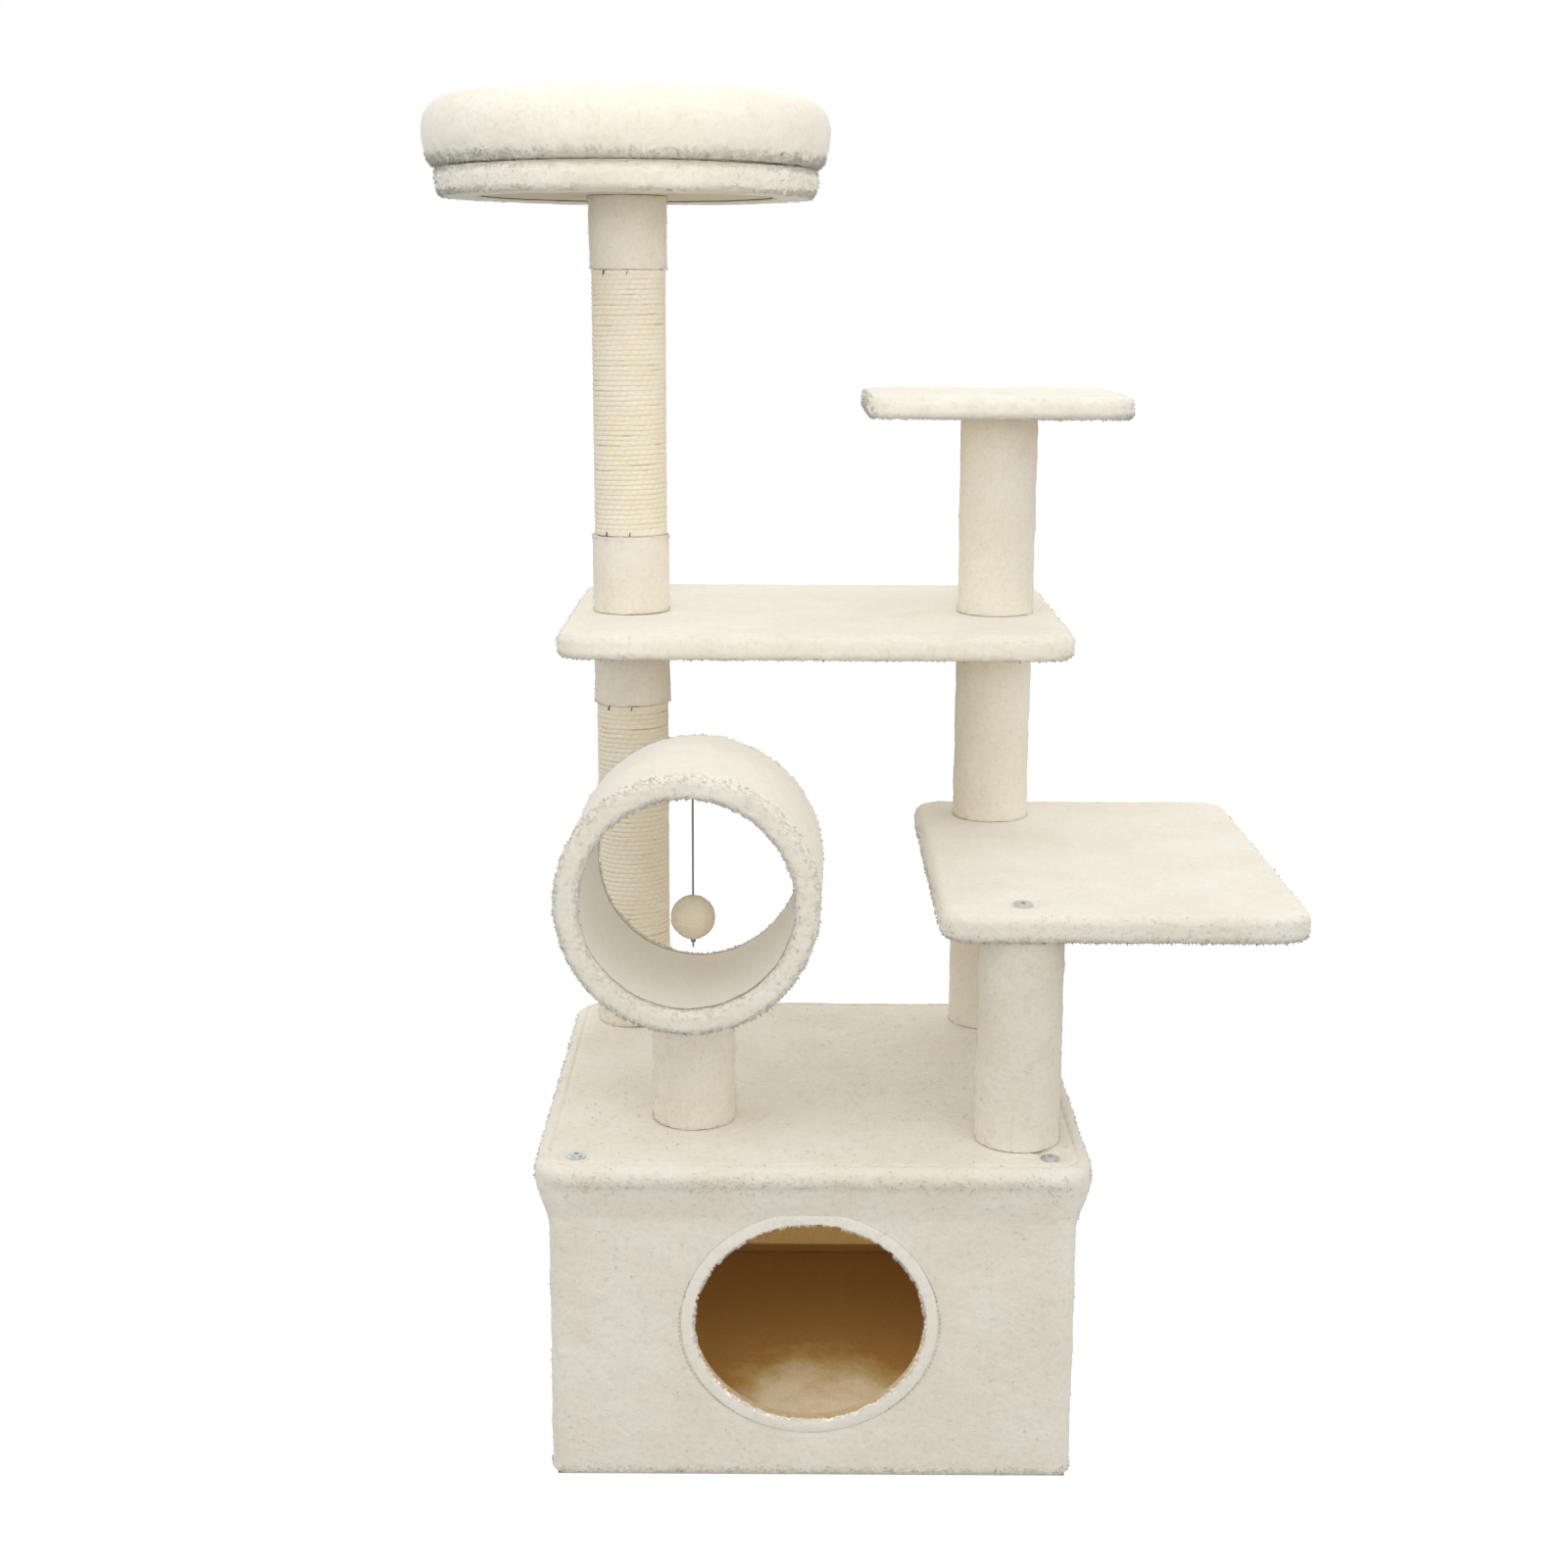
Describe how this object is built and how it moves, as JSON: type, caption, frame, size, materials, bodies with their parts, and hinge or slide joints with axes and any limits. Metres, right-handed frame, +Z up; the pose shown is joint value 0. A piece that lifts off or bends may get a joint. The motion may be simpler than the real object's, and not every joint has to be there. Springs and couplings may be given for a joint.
{
  "type": "cat tree",
  "caption": "Plush cat tree: condo with an oval door, tunnel with a hanging ball toy, covered shelves, sisal and plush posts, and a round bolster bed on top.",
  "frame": {"origin": "on the floor under the middle of the condo, on the base board's underside", "axes": "+Z up, +X to the right as seen from the front, -Y towards the front, where the condo's door is"},
  "size_m": [0.8255, 0.637, 1.2433],
  "materials": {
    "plush": "short cream pile",
    "sisal": "twisted natural rope wound close",
    "board": "raw particle board",
    "paper_tube": "spiral wound paper",
    "steel": "zinc plated",
    "elastic": "braided grey elastic",
    "toy_yarn": "fuzzy wound yarn"
  },
  "bodies": {
    "root": {"floor_mat": "plush", "deck_cover": "plush", "wall_cover": "plush", "door_trim": "plush", "lower_right_sleeve": "plush", "middle_right_sleeve": "plush", "upper_right_sleeve": "plush", "front_right_sleeve": "plush", "lower_left_foot_cuff": "plush", "lower_left_top_cuff": "plush", "upper_left_foot_cuff": "plush", "upper_left_top_cuff": "plush", "middle_shelf_cover": "plush", "lower_shelf_cover": "plush", "perch_cover": "plush", "bed_cover": "plush", "bed_bolster": "plush", "tunnel_cover": "plush", "tunnel_lining": "plush", "tunnel_post_sleeve": "plush", "lower_left_sisal": "sisal", "upper_left_sisal": "sisal", "base_board": "board", "front_panel": "board", "back_panel": "board", "left_panel": "board", "right_panel": "board", "deck_board": "board", "middle_shelf_board": "board", "lower_shelf_board": "board", "perch_board": "board", "bed_board": "board", "lower_right_post": "paper_tube", "middle_right_post": "paper_tube", "upper_right_post": "paper_tube", "front_right_post": "paper_tube", "lower_left_post": "paper_tube", "upper_left_post": "paper_tube", "tunnel_tube": "paper_tube", "tunnel_post": "paper_tube", "deck_screw_front_left": "steel", "deck_screw_front_right": "steel", "deck_screw_rear_left": "steel", "deck_screw_rear_right": "steel", "deck_bolt_left": "steel", "deck_bolt_right": "steel", "deck_bolt_front": "steel", "deck_bolt_tunnel": "steel", "stud_middle_left": "steel", "stud_middle_right": "steel", "stud_lower_right": "steel", "bed_bolt": "steel", "perch_bolt": "steel", "lower_shelf_bolt": "steel", "tunnel_bolt": "steel"},
    "toy_hanger": {"toy_knot": "elastic"},
    "toy": {"toy_cord": "elastic", "toy_ball": "toy_yarn"}
  },
  "joints": [
    {"name": "toy_swing_along", "type": "hinge", "parent": "root", "child": "toy_hanger", "pos_m": [-0.111, -0.108, 0.6231], "axis": [0.9997, -0.0262, 0], "range_deg": [-60, 60]},
    {"name": "toy_swing_across", "type": "hinge", "parent": "toy_hanger", "child": "toy", "pos_m": [-0.111, -0.108, 0.6231], "axis": [0.0262, 0.9997, 0], "range_deg": [-30, 30]}
  ]
}
